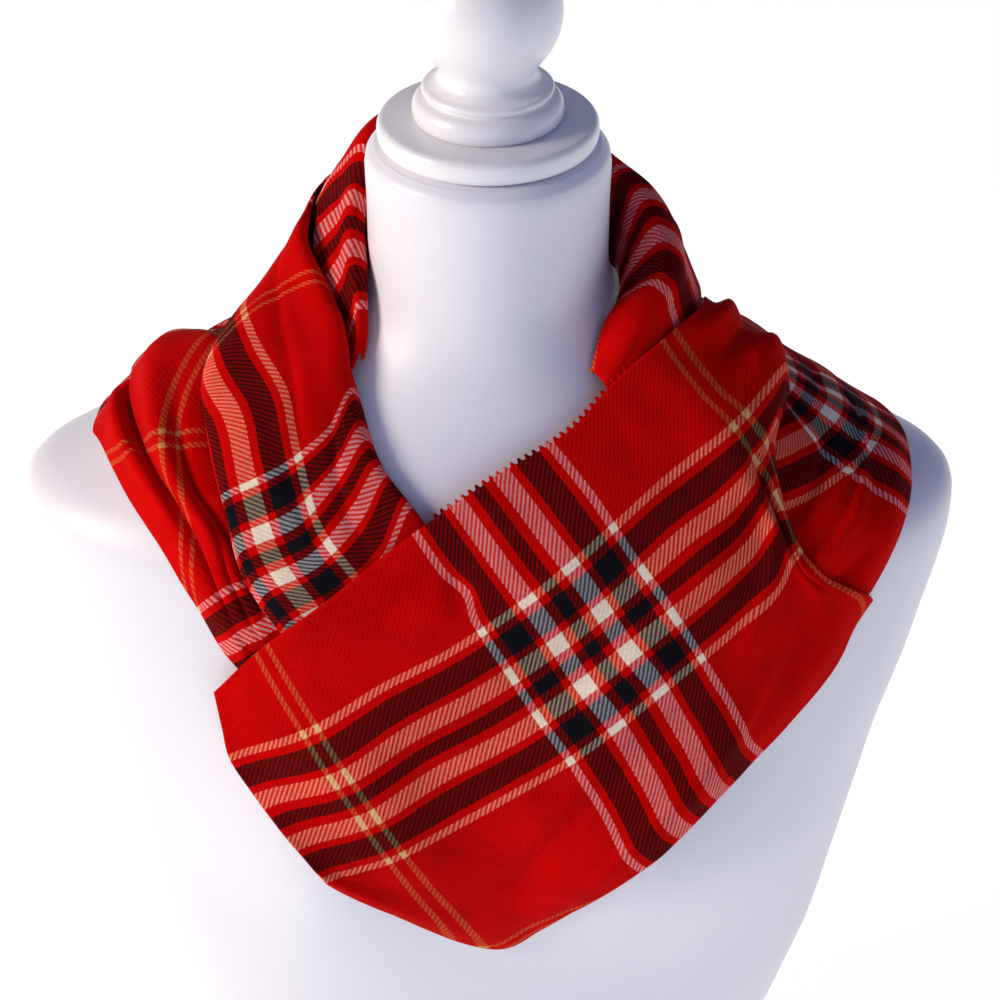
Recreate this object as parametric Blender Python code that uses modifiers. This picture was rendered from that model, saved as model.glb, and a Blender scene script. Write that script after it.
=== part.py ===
# Cashmere scarf wound round the neck of a limbless dress form.
# Metres, +Z up, the form's front looks along -Y, its flat underside is z = 0.
import math

import bpy
import numpy as np
from mathutils import Vector
from mathutils.bvhtree import BVHTree

# Driving sizes
neck_top = 0.580          # height of the neck's flat top
cap_radius = 0.048
cap_height = 0.0115
ball_radius = 0.032
cloth_wall = 0.0016
seam_gap = 0.0003         # between pieces that meet
form_clear = 0.0017       # least distance from the form to the middle of the cloth
layer_clear = 0.0025      # least distance between the middles of two layers
facet_room = 0.0004       # less of it is asked for in the middle of a face
edge_slope = 0.45         # how steeply a cloth comes down beside the edge of a lower one
form_sides = 48
turned_steps = 32

# The form: drop below the neck's top, half width, reach in front, reach behind (mm), squareness
form_rows = [
    (0, 49, 49, 49, 2.0),
    (3, 52, 52, 52, 2.0),
    (8, 53.5, 53.5, 53.5, 2.0),
    (30, 53, 53, 54, 2.0),
    (55, 53, 53, 57, 2.0),
    (72, 58, 56, 62, 2.0),
    (84, 70, 60, 67, 2.0),
    (95, 87, 66, 71, 2.0),
    (106, 111, 72, 76, 2.0),
    (118, 135, 79, 80, 2.05),
    (130, 157, 86, 82, 2.05),
    (144, 182, 93, 82, 2.0),
    (156, 206.5, 99, 85, 2.05),
    (168, 212, 105, 91, 2.15),
    (182, 211.5, 109, 99, 2.2),
    (200, 208, 114, 105, 2.2),
    (217, 203.5, 118, 108, 2.2),
    (240, 198, 121, 110, 2.2),
    (280, 186, 123, 110, 2.25),
    (320, 177, 121, 107, 2.3),
    (360, 169, 116, 103, 2.3),
    (400, 161, 109, 98, 2.3),
    (440, 149.5, 102, 92, 2.25),
    (480, 138, 96, 87, 2.2),
    (515, 133, 94, 86, 2.2),
    (545, 135, 96, 90, 2.2),
    (580, 143, 100, 97, 2.2),
]
bust_side = 78.0
bust_drop = 292.0
bust_proud = 24.0
bust_width = 52.0
bust_height = 62.0

# Cloth sections on the form: turn from the front (degrees), drop (mm), height above the form (mm).
# Each row is one line across the cloth; "along" is its place in mm along the cloth.
front_rows = [
    (-150, [(-33, 215, 7), (-32.5, 231, 7), (-32, 244, 7), (-29, 257, 7),
            (-25.5, 270, 7), (-22.5, 282, 6), (-20, 293, 5), (-19.5, 298, 1.5)]),
    (-115, [(-23, 185, 10), (-20, 208, 9), (-16.5, 231, 9), (-13, 255, 8),
            (-9.5, 278, 7), (-5, 305, 7), (0, 338, 6), (1, 351, 1.5)]),
    (-92, [(-17, 168, 11), (-12.5, 189, 10), (-9.5, 213, 9), (-5.5, 241, 8),
           (-1.5, 270, 7), (2, 296, 7), (5, 324, 6), (6, 335, 1.5)]),
    (-60, [(-12.5, 151, 12), (-6, 174, 10), (-2.5, 197, 9), (1, 225, 8),
           (5, 250, 8), (8.5, 276, 7), (10.5, 301, 6), (11.5, 312, 1.5)]),
    (0, [(1.5, 120, 10), (8, 141, 9), (11.5, 162, 9), (15, 179, 9),
         (19.5, 199, 8), (23.5, 226, 7), (26.5, 254, 6), (28.5, 262, 1.5)]),
    (45, [(19.5, 104, 9), (22.5, 122, 9), (24.5, 141, 9), (25, 160, 9),
          (27, 178, 8), (31.5, 202, 7), (36.5, 229, 6), (39.5, 239, 1.5)]),
    (80, [(37.5, 93, 12), (36, 111, 12), (35.5, 130, 11), (33.5, 149, 9),
          (33, 163, 8), (36.5, 183, 7), (43.5, 207, 6), (47, 217, 1.5)]),
    (115, [(53.5, 90, 20), (50, 106, 20), (48, 121, 17), (44, 134, 12),
           (38.5, 151, 9), (38, 169, 8), (45.5, 190, 6), (49, 200, 1.5)]),
    (145, [(77, 93, 26), (80, 104, 22), (73, 115, 18), (51.5, 126, 13),
           (41.5, 148, 9), (38.5, 166, 8), (48.5, 184, 5), (51, 192, 1.5)]),
    (170, [(91.5, 95, 17), (92, 105, 13), (81, 116, 9), (53, 127, 8),
           (42.5, 147, 6), (40, 165, 5), (50, 184, 3), (52, 189, 1.5)]),
]
# The long outer stretch: right shoulder, back and left shoulder, inner edge first
outer_rows = [
    # right shoulder
    (85, [(44.5, 112, 3), (39.5, 131, 3), (34.5, 152, 3), (35, 162, 3),
          (36.5, 172, 3), (42.5, 194, 3), (45, 201, 1.5)]),
    (125, [(61, 113, 4), (51, 130, 5), (42.5, 149, 6), (41, 158, 6),
           (41, 166, 6), (48, 179, 5), (50.5, 186, 1.5)]),
    (160, [(73, 113, 5), (59, 128, 7), (52, 144, 9), (50, 150, 9),
           (49.5, 155, 9), (54, 163, 7), (56.5, 167, 1.5)]),
    (195, [(80, 111, 5), (71, 122, 6), (66.5, 133, 8), (65.5, 138, 8),
           (65, 143, 8), (64.5, 151, 8), (66.5, 154, 1.5)]),
    (230, [(87, 108, 5), (83.5, 118, 6), (81, 129, 7), (80, 133, 7),
           (79, 138, 7), (77.5, 146, 7), (78, 149, 1.5)]),
    (270, [(96, 106, 5), (95.5, 115, 3), (95, 125, 3), (94.5, 130, 3.5),
           (94, 135, 3), (93.5, 143, 2.5), (93, 147, 1.5)]),
    (305, [(110, 104, 4), (110, 114, 3), (110, 126, 3), (110.5, 133, 4),
           (112.5, 141, 3), (116, 149, 2.5), (117, 152, 1.5)]),
    # back
    (345, [(127, 98, 5), (127, 115, 6), (127, 132, 5), (127, 141, 6),
           (127, 150, 6), (126, 168, 5), (125.5, 173, 1.5)]),
    (390, [(148, 91, 6), (148, 116, 8), (149, 142, 7), (149, 154, 9),
           (149, 166, 11), (149, 191, 7), (149, 197, 1.5)]),
    (440, [(174, 88, 6), (174, 118, 9), (174, 150, 7), (174.5, 164.5, 8.5),
           (175, 179, 10), (175, 209, 7), (175, 215, 1.5)]),
    (490, [(202, 89, 6), (202, 117, 8), (201, 148, 9), (201, 162, 8),
           (201, 176, 7), (200, 204, 8), (200, 210, 1.5)]),
    (535, [(226, 95, 6), (226, 117, 8), (226, 140, 6), (226, 150, 7),
           (226, 159, 8), (227, 178, 6), (227, 184, 1.5)]),
    (580, [(247, 107, 3), (245.5, 118, 4), (245.5, 126, 6), (246, 132, 8),
           (246, 139, 5), (243.5, 147, 3), (242.5, 151, 1.5)]),
    # left shoulder
    (610, [(258, 101, 3), (258, 110, 4), (257.5, 116, 12), (258.5, 121, 17),
           (260.5, 129, 13), (262.5, 137, 5), (264, 142, 1.5)]),
    (635, [(275.5, 102, 3), (273, 107, 4), (270.5, 111, 15), (268.5, 121, 20),
           (268.5, 130, 10), (272, 135, 9), (271.5, 142, 1.5)]),
    (665, [(307, 115, 3), (302.5, 118, 4), (301, 123, 15), (298, 129, 20),
           (292, 133, 8), (290.5, 137, 11), (283, 141, 1.5)]),
    (700, [(320, 126, 4), (315.5, 131, 4), (313, 135, 11), (310.5, 138, 16),
           (304.5, 139, 9), (305, 143, 11), (302.5, 147, 1.5)]),
    (750, [(330.5, 143, 4), (327.5, 147, 4), (326, 150, 7), (324.5, 152, 12),
           (321.5, 153, 9), (320.5, 156, 9), (318.5, 160, 1.5)]),
    (795, [(337, 160, 4), (334.5, 163, 4), (332.5, 165, 5), (330.5, 167, 8),
           (329, 170, 8), (327, 175, 7), (325.5, 180, 1.5)]),
    (840, [(341.5, 181, 3), (338.5, 184, 4), (336.5, 186, 4), (335, 190, 5),
           (333, 193, 5), (331.5, 197, 5), (329.5, 201, 1.5)]),
    (860, [(342.5, 190, 3), (339.5, 193, 3), (338, 196, 3), (336.5, 199, 3),
           (334.5, 203, 3), (333, 206, 3), (332, 209, 1.5)]),
]
shoulder_last = 6
left_first = 13
strap_rows = [
    (75, [(-69, 76, 12), (-69, 75, 17), (-71, 89, 24), (-67.5, 102, 27),
          (-63.5, 115, 22), (-67, 115, 13)]),
    (115, [(-55.5, 83, 8), (-55.5, 81, 13), (-50.5, 95, 20), (-48, 109, 23),
           (-52, 123, 20), (-54.5, 123, 10)]),
    (160, [(-36, 98, 4), (-37.5, 97, 8), (-32, 111, 14), (-33.5, 126, 18),
           (-39, 139, 17), (-39.5, 141, 8)]),
    (205, [(-20, 117, 3.5), (-21, 116, 7), (-21.5, 130, 11), (-23, 149, 13),
           (-27.5, 161, 12), (-28, 164, 6)]),
    (255, [(-10.5, 135, 3.5), (-11, 133, 6), (-12, 153, 8), (-15.5, 168, 9),
           (-21, 181, 9), (-22, 186, 5)]),
    (285, [(-3.5, 156, 4), (-4, 154, 5), (-7.5, 169, 5), (-11, 185, 5),
           (-16.5, 196, 5), (-17.5, 199, 4)]),
]
# Sections round the neck: turn (degrees), then (reach from the neck's axis, height) in mm
strap_back_rows = [
    (0, -136, [(69, 532), (72, 535), (77, 523), (84, 509), (91, 495), (94, 489)]),
    (25, -114, [(77, 525), (79, 528), (86, 518), (95, 504), (105, 489), (108, 483)]),
    (50, -96, [(80, 527), (82, 531), (91, 521), (101, 506), (112, 490), (116, 482)]),
]
collar_rows = [
    (0, 41, [(68, 494), (70, 495), (73, 494), (75, 493), (80, 489), (85, 486)]),
    (20, 55, [(61, 507), (65, 513), (73, 516), (76, 515), (81, 508), (86, 499)]),
    (45, 74, [(58, 508), (67, 521), (81, 531), (84, 529), (88, 518), (92, 503)]),
    (75, 90, [(58, 509), (65, 530), (74, 543), (78, 541), (86, 525), (94, 504)]),
    (105, 107, [(58, 510), (62, 534), (69, 549), (73, 548), (82, 530), (95, 500)]),
    (140, 125, [(59, 512), (60, 538), (64, 552), (68, 552), (78, 534), (94, 492)]),
    (185, 150, [(61, 512), (60, 544), (63, 562), (67, 562), (76, 536), (89, 482)]),
    (240, 180, [(62, 512), (60, 548), (63, 570), (67, 570), (76, 540), (86, 475)]),
    (295, 210, [(61, 512), (60, 548), (63, 573), (67, 573), (78, 541), (91, 481)]),
    (335, 232, [(59, 512), (58, 545), (60, 567), (64, 569), (81, 546), (104, 489)]),
    (355, 242, [(58, 511), (57, 541), (58, 560), (61, 563), (75, 550), (90, 526)]),
    (370, 250, [(58, 511), (56, 533), (56, 550), (59, 553), (70, 545), (81, 533)]),
    (388, 262, [(58, 511), (56, 528), (56, 543), (59, 546), (67, 537), (78, 524)]),
    (404, 274, [(58, 510), (56, 522), (56, 535), (59, 537), (66, 528), (74, 517)]),
    (422, 286, [(59, 510), (57, 518), (57, 526), (60, 528), (65, 520), (69, 510)]),
    (440, 296, [(60, 508), (60, 512), (60, 517), (62, 518), (65, 511), (68, 503)]),
    (458, 303, [(63, 502), (63, 505), (64, 509), (66, 509), (68, 503), (72, 496)]),
    (470, 308, [(69, 495), (69, 497), (70, 499), (72, 499), (73, 497), (75, 493)]),
]

# Rows and columns of each cloth's mesh
front_grid = (27, 19)
outer_columns = 17         # the same in all three, so that their seams meet evenly
shoulder_grid = (13, outer_columns)
back_grid = (25, outer_columns)
left_grid = (17, outer_columns)
strap_grid = (23, 13)
collar_grid = (34, 13)
collar_crest = 6           # its column at the top of the fold
strap_over_collar = 27     # from this row the strap lies over it


def slopes(knots, values):
    step = np.diff(knots)
    rise = np.diff(values, axis=0) / step.reshape((-1,) + (1,) * (values.ndim - 1))
    slope = np.empty_like(values)
    slope[0] = rise[0]
    slope[-1] = rise[-1]
    for k in range(1, len(knots) - 1):
        share = step[k] / (step[k - 1] + step[k])
        slope[k] = rise[k - 1] * share + rise[k] * (1 - share)
    return slope


def monotone(knots, values, slope):
    step = np.diff(knots)
    rise = np.diff(values, axis=0) / step[:, None]
    kept = slope.copy()
    for k in range(len(knots)):
        for side in (k - 1, k):
            if 0 <= side < len(rise):
                limit = 3 * np.abs(rise[side])
                kept[k] = np.clip(kept[k], -limit, limit)
    turning = rise[:-1] * rise[1:] <= 0
    kept[1:-1][turning] = 0
    return kept


def spline(knots, values, places, even=False):
    knots = np.asarray(knots, float)
    values = np.asarray(values, float)
    slope = slopes(knots, values)
    if even:
        slope = monotone(knots, values, slope)
    places = np.clip(places, knots[0], knots[-1])
    k = np.clip(np.searchsorted(knots, places, side="right") - 1, 0, len(knots) - 2)
    shape = places.shape + (1,) * (values.ndim - 1)
    span = (knots[k + 1] - knots[k]).reshape(shape)
    t = ((places - knots[k]) / (knots[k + 1] - knots[k])).reshape(shape)
    return ((1 + 2 * t) * (1 - t) ** 2 * values[k] + t * (1 - t) ** 2 * span * slope[k]
            + t * t * (3 - 2 * t) * values[k + 1] + t * t * (t - 1) * span * slope[k + 1])


def form_point(turn, drop):
    rows = np.array(form_rows)
    turn, drop = np.broadcast_arrays(np.radians(np.asarray(turn, float)), np.asarray(drop, float))
    at = spline(rows[:, 0], rows[:, 1:], drop.ravel(), even=True).reshape(drop.shape + (4,))
    half_width, front, behind, square = at[..., 0], at[..., 1], at[..., 2], at[..., 3]
    side, ahead = np.sin(turn), np.cos(turn)
    x = half_width * np.sign(side) * np.abs(side) ** (2 / square)
    y = (behind - front) / 2 - (behind + front) / 2 * np.sign(ahead) * np.abs(ahead) ** (2 / square)
    bust = np.exp(-((x - bust_side) / bust_width) ** 2) + np.exp(-((x + bust_side) / bust_width) ** 2)
    bust = bust * bust_proud * np.exp(-((drop - bust_drop) / bust_height) ** 2)
    y = y - bust * np.sqrt(np.clip(ahead, 0, 1))
    return np.stack([x, y, neck_top * 1000 - drop], -1) / 1000


def form_normal(turn, drop):
    turn = np.asarray(turn, float)
    drop = np.asarray(drop, float)
    round_it = form_point(turn + 0.5, drop) - form_point(turn - 0.5, drop)
    down_it = form_point(turn, drop + 0.5) - form_point(turn, drop - 0.5)
    normal = np.cross(down_it, round_it)
    return normal / np.linalg.norm(normal, axis=-1, keepdims=True)


def on_form(rows):
    table = np.array([[list(point) for point in row[1]] for row in rows], float)
    turn, drop, off = table[..., 0], table[..., 1], table[..., 2]
    return form_point(turn, drop) + form_normal(turn, drop) * off[..., None] / 1000


def round_neck(rows):
    turn = np.radians(np.array([row[1] for row in rows], float))[:, None]
    table = np.array([row[2] for row in rows], float) / 1000
    reach, height = table[..., 0], table[..., 1]
    return np.stack([reach * np.sin(turn), -reach * np.cos(turn), height], -1)


def knots_of(points, axis):
    steps = np.linalg.norm(np.diff(points, axis=axis), axis=-1)
    steps = steps.mean(axis=1 - axis)
    return np.concatenate([[0], np.cumsum(steps)])


def places(first, last, count, edge, first_gap=0.0, last_gap=0.0):
    inner = np.linspace(first + edge, last - edge, count - 2)
    return np.concatenate([[first + first_gap], inner, [last - last_gap]])


def lofted(points, grid, first_row=0, last_row=-1, first_gap=0.0, last_gap=0.0):
    along = knots_of(points, 0)
    across = knots_of(points, 1)
    lines = spline(along, points, places(along[first_row], along[last_row], grid[0], 0.004, first_gap, last_gap))
    lines = np.swapaxes(lines, 0, 1)
    lines = spline(across, lines, places(across[0], across[-1], grid[1], 0.0035))
    return np.swapaxes(lines, 0, 1)


def faces_of(rows, columns):
    faces = []
    for i in range(rows - 1):
        for j in range(columns - 1):
            a = i * columns + j
            faces.append((a, a + 1, a + columns + 1, a + columns))
    return faces


def tree_of(*grids):
    points = []
    faces = []
    for grid in grids:
        rows, columns = grid.shape[:2]
        first = len(points)
        points += [Vector(p) for p in grid.reshape(-1, 3)]
        faces += [tuple(k + first for k in face) for face in faces_of(rows, columns)]
    return BVHTree.FromPolygons(points, faces)


def lack_of_room(spot_here, lower, least, reach):
    here = Vector(spot_here)
    spot, normal, index, distance = lower.find_nearest(here, reach)
    if spot is None:
        return None
    away = here - spot
    height = away.dot(normal)
    aside = (away - normal * height).length
    lack = least - edge_slope * aside - height
    return np.array(normal * lack) if lack > 0 else None


def lifted(grid, lower, least, reach=0.016):
    # Raise a cloth until its corners and the middles of its faces clear the surface below.
    rows, columns = grid.shape[:2]
    moved = np.zeros_like(grid)
    for turn in range(12):
        for i in range(rows):
            for j in range(columns):
                push = lack_of_room(grid[i, j] + moved[i, j], lower, least, reach)
                if push is not None:
                    moved[i, j] += push
        now = grid + moved
        for i in range(rows - 1):
            for j in range(columns - 1):
                middle = (now[i, j] + now[i + 1, j] + now[i, j + 1] + now[i + 1, j + 1]) / 4
                push = lack_of_room(middle, lower, least - facet_room, reach)
                if push is not None:
                    moved[i:i + 2, j:j + 2] += push * 0.5
        if turn < 6:
            soft = moved.copy()
            soft[1:-1] = (moved[:-2] + 2 * moved[1:-1] + moved[2:]) / 4
            soft[:, 1:-1] = (soft[:, :-2] + 2 * soft[:, 1:-1] + soft[:, 2:]) / 4
            longer = np.linalg.norm(soft, axis=-1) > np.linalg.norm(moved, axis=-1)
            moved[longer] = soft[longer]
    return grid + moved


def new_collection(name):
    collection = bpy.data.collections.new(name)
    bpy.context.scene.collection.children.link(collection)
    return collection


def material(name, colour, rough):
    made = bpy.data.materials.new(name)
    made.use_nodes = True
    shader = made.node_tree.nodes["Principled BSDF"]
    shader.inputs["Base Color"].default_value = (*colour, 1.0)
    shader.inputs["Roughness"].default_value = rough
    made.diffuse_color = (*colour, 1.0)
    return made


def add_mesh(name, points, faces, look, smooth=True):
    mesh = bpy.data.meshes.new(name)
    mesh.from_pydata([tuple(p) for p in points], [], faces)
    mesh.update()
    made = bpy.data.objects.new(name, mesh)
    scarf_set.objects.link(made)
    mesh.materials.append(look)
    if smooth:
        mesh.shade_smooth()
    return made


def add_cloth(name, grid, look):
    made = add_mesh(name, grid.reshape(-1, 3), faces_of(*grid.shape[:2]), look)
    wall = made.modifiers.new("wall", "SOLIDIFY")
    wall.thickness = cloth_wall
    wall.offset = 0.0
    wall.use_even_offset = False
    return made


def add_turned(name, profile, look):
    # A profile from the top of the axis down its outer side to the bottom of the axis
    points = [(radius, 0.0, height) for radius, height in profile]
    edges = [(k, k + 1) for k in range(len(points) - 1)]
    mesh = bpy.data.meshes.new(name)
    mesh.from_pydata(points, edges, [])
    mesh.materials.append(look)
    made = bpy.data.objects.new(name, mesh)
    scarf_set.objects.link(made)
    turn = made.modifiers.new("turn", "SCREW")
    turn.axis = "Z"
    turn.steps = turned_steps
    turn.render_steps = turned_steps
    turn.use_merge_vertices = True
    turn.merge_threshold = 0.00001
    turn.use_smooth_shade = True
    turn.use_normal_calculate = True
    return made


for old in list(bpy.data.objects):
    bpy.data.objects.remove(old, do_unlink=True)

scarf_set = new_collection("cashmere_scarf_on_dress_form")
cloth_look = material("red_cashmere", (0.55, 0.010, 0.012), 0.85)
form_look = material("white_jersey", (0.80, 0.79, 0.80), 0.55)
paint_look = material("white_paint", (0.82, 0.82, 0.82), 0.35)

# The form's body, closed by its flat top and underside
form_drops = [0, 3, 8, 30, 55, 66, 76, 84, 92, 101, 112, 124, 137, 151, 167, 185, 206, 230, 255,
              280, 305, 330, 360, 400, 440, 480, 515, 545, 580]
form_turns = np.arange(form_sides) * 360 / form_sides
form_grid = form_point(form_turns[None, :], np.array(form_drops, float)[:, None])
form_points = list(form_grid.reshape(-1, 3))
form_faces = []
for i in range(len(form_drops) - 1):
    for j in range(form_sides):
        k = (j + 1) % form_sides
        form_faces.append((i * form_sides + j, (i + 1) * form_sides + j,
                           (i + 1) * form_sides + k, i * form_sides + k))
top_centre = len(form_points)
form_points.append(np.array([0, 0, neck_top]))
form_points.append(np.array([0, (form_grid[-1, :, 1].max() + form_grid[-1, :, 1].min()) / 2, 0]))
last_ring = (len(form_drops) - 1) * form_sides
for j in range(form_sides):
    k = (j + 1) % form_sides
    form_faces.append((j, k, top_centre))
    form_faces.append((last_ring + k, last_ring + j, top_centre + 1))
form_body = add_mesh("form_torso", form_points, form_faces, form_look)
form_body.data.set_sharp_from_angle(angle=math.radians(40))
form_tree = BVHTree.FromPolygons([Vector(p) for p in form_points], form_faces)

# The cap on the neck and the turned finial
cap_bottom = neck_top + seam_gap
cap_top = cap_bottom + cap_height
cap_profile = [(0.0, cap_top), (cap_radius - 0.0035, cap_top), (cap_radius - 0.0012, cap_top - 0.0008),
               (cap_radius, cap_top - 0.003), (cap_radius, cap_top - 0.007),
               (cap_radius - 0.0015, cap_bottom + 0.0015), (cap_radius - 0.004, cap_bottom), (0.0, cap_bottom)]
add_turned("neck_cap", cap_profile, paint_look)
finial_bottom = cap_top + seam_gap
ball_middle = finial_bottom + 0.049
finial_profile = []
for k in range(15):
    angle = math.radians(90 - k * 9.2)
    finial_profile.append((ball_radius * math.cos(angle), ball_middle + ball_radius * math.sin(angle)))
finial_profile[0] = (0.0, ball_middle + ball_radius)
for radius, height in ((21.0, 22.5), (21.2, 20.0), (22.5, 17.5), (25.5, 15.6), (28.0, 14.8), (28.6, 13.6),
                       (28.0, 12.2), (27.2, 11.4), (30.6, 9.6), (32.4, 6.8), (32.8, 4.0), (32.4, 1.4), (31.6, 0.0)):
    finial_profile.append((radius / 1000, finial_bottom + height / 1000))
finial_profile.append((0.0, finial_bottom))
add_turned("neck_finial", finial_profile, paint_look)

# The cloth, from the layers next to the form to the one on top
half_gap = seam_gap / 2
outer_points = on_form(outer_rows)
shoulder = lofted(outer_points, shoulder_grid, 0, shoulder_last, 0.0, half_gap)
shoulder = lifted(shoulder, form_tree, form_clear)
back = lofted(outer_points, back_grid, shoulder_last, left_first, half_gap, half_gap)
back = lifted(back, form_tree, form_clear)
left = lofted(outer_points, left_grid, left_first, -1, half_gap, 0.0)
left = lifted(left, form_tree, form_clear)
collar = lofted(round_neck(collar_rows), collar_grid)
collar = lifted(collar, form_tree, form_clear)
collar = lifted(collar, tree_of(back), layer_clear)
strap_points = np.concatenate([round_neck(strap_back_rows), on_form(strap_rows)])
strap = lofted(strap_points, strap_grid)
collar_outside = collar[strap_over_collar:, collar_crest:]
for again in range(2):
    strap = lifted(strap, form_tree, form_clear)
    strap = lifted(strap, tree_of(back, left), layer_clear)
    strap = lifted(strap, tree_of(collar_outside), layer_clear)
front = lofted(on_form(front_rows), front_grid)
for again in range(2):
    front = lifted(front, form_tree, form_clear)
    front = lifted(front, tree_of(shoulder, back, left), layer_clear)
    front = lifted(front, tree_of(collar[:strap_over_collar, collar_crest:]), layer_clear)
    front = lifted(front, tree_of(strap), layer_clear)

add_cloth("right_shoulder", shoulder, cloth_look)
add_cloth("back_drape", back, cloth_look)
add_cloth("left_drape", left, cloth_look)
add_cloth("neck_collar", collar, cloth_look)
add_cloth("left_strap", strap, cloth_look)
add_cloth("front_panel", front, cloth_look)
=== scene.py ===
# A cashmere scarf wound round the neck of a limbless dress form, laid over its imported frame.
# Metres, +Z up, the form's front looks along -Y.
import math

import bpy
import numpy as np
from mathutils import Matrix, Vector, noise
from mathutils.bvhtree import BVHTree


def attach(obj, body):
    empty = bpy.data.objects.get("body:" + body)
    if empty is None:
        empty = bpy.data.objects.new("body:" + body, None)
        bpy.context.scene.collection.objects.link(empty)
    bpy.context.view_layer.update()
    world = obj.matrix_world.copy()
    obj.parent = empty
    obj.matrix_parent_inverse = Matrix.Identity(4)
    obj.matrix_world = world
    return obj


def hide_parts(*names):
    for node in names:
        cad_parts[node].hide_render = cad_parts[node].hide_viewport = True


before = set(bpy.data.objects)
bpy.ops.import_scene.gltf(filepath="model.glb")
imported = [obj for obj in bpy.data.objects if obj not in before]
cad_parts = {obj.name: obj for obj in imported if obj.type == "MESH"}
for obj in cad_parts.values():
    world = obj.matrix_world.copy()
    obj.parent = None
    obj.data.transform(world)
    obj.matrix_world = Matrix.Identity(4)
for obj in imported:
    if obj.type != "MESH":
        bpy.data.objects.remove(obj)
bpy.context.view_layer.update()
print("frame loaded with", len(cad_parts), "nodes")

# What all the cloths share
cloth = {
    "wall": 0.0015,          # thickness
    "formClear": 0.0017,     # least distance from the form to the middle of the cloth
    "layerClear": 0.0025,    # least distance between the middles of two layers
    "edgeSlope": 0.45,       # how steeply a cloth comes down beside the edge of a lower one
    "steepFlank": 0.75,      # a fold's one flank is this share of its width
    "easyFlank": 1.35,       # and its other flank this share
    "waver": 0.0005,         # height of the soft unevenness all over
    "waverSize": 0.045,      # and its length
    "ripple": 0.4,           # share of a finer unevenness on top of it
    "rippleTimes": 2.3,      # and how many times finer it is
    "flatRows": 36,          # rows kept while a cloth is laid out flat
    "flatSoft": 12,          # softening turns over the flat places
    "rounds": 2,             # how often a cloth is held against the layers below it
}

# The dress form's shape
formShape = {
    # drop below the neck's top, half width, reach in front, reach behind (all in mm), squareness
    "rows": [
        (0, 49, 49, 49, 2.0), (3, 52, 52, 52, 2.0), (8, 53.5, 53.5, 53.5, 2.0),
        (30, 53, 53, 54, 2.0), (55, 53, 53, 57, 2.0), (72, 58, 56, 62, 2.0),
        (84, 70, 60, 67, 2.0), (95, 87, 66, 71, 2.0), (106, 111, 72, 76, 2.0),
        (118, 135, 79, 80, 2.05), (130, 157, 86, 82, 2.05), (144, 182, 93, 82, 2.0),
        (156, 206.5, 99, 85, 2.05), (168, 212, 105, 91, 2.15), (182, 211.5, 109, 99, 2.2),
        (200, 208, 114, 105, 2.2), (217, 203.5, 118, 108, 2.2), (240, 198, 121, 110, 2.2),
        (280, 186, 123, 110, 2.25), (320, 177, 121, 107, 2.3), (360, 169, 116, 103, 2.3),
        (400, 161, 109, 98, 2.3), (440, 149.5, 102, 92, 2.25), (480, 138, 96, 87, 2.2),
        (515, 133, 94, 86, 2.2), (545, 135, 96, 90, 2.2), (580, 143, 100, 97, 2.2),
    ],
    "neckTop": 0.580,        # height of the neck's top in metres
    "bustSide": 78.0, "bustDrop": 292.0, "bustProud": 24.0, "bustWidth": 52.0, "bustHeight": 62.0,   # mm
    "sides": 192,
    "brimDrops": (0, 0.4, 1.0, 1.8, 2.6, 3.4),    # close rings at the neck's rounded top edge
    "wallDrops": (4.5, 580), "wallRings": 130,    # from there down to the underside
    "sharpAngle": 50,        # degrees; a steeper edge is drawn sharp
}


def slopes(knots, values):
    step = np.diff(knots)
    rise = np.diff(values, axis=0) / step.reshape((-1,) + (1,) * (values.ndim - 1))
    slope = np.empty_like(values)
    slope[0] = rise[0]
    slope[-1] = rise[-1]
    for k in range(1, len(knots) - 1):
        share = step[k] / (step[k - 1] + step[k])
        slope[k] = rise[k - 1] * share + rise[k] * (1 - share)
    return slope


def evened(knots, values, slope):
    # Slopes with no overshoot between two knots: none over three times the rise beside it
    step = np.diff(knots)
    rise = np.diff(values, axis=0) / step[:, None]
    kept = slope.copy()
    for k in range(len(knots)):
        for side in (k - 1, k):
            if 0 <= side < len(rise):
                limit = 3 * np.abs(rise[side])
                kept[k] = np.clip(kept[k], -limit, limit)
    turning = rise[:-1] * rise[1:] <= 0
    kept[1:-1][turning] = 0
    return kept


def spline(knots, values, places, even=False):
    # A smooth curve through the values at the knots, read at the places
    knots = np.asarray(knots, float)
    values = np.asarray(values, float)
    slope = slopes(knots, values)
    if even:
        slope = evened(knots, values, slope)
    places = np.clip(places, knots[0], knots[-1])
    k = np.clip(np.searchsorted(knots, places, side="right") - 1, 0, len(knots) - 2)
    shape = places.shape + (1,) * (values.ndim - 1)
    span = (knots[k + 1] - knots[k]).reshape(shape)
    t = ((places - knots[k]) / (knots[k + 1] - knots[k])).reshape(shape)
    return ((1 + 2 * t) * (1 - t) ** 2 * values[k] + t * (1 - t) ** 2 * span * slope[k]
            + t * t * (3 - 2 * t) * values[k + 1] + t * t * (t - 1) * span * slope[k + 1])


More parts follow.
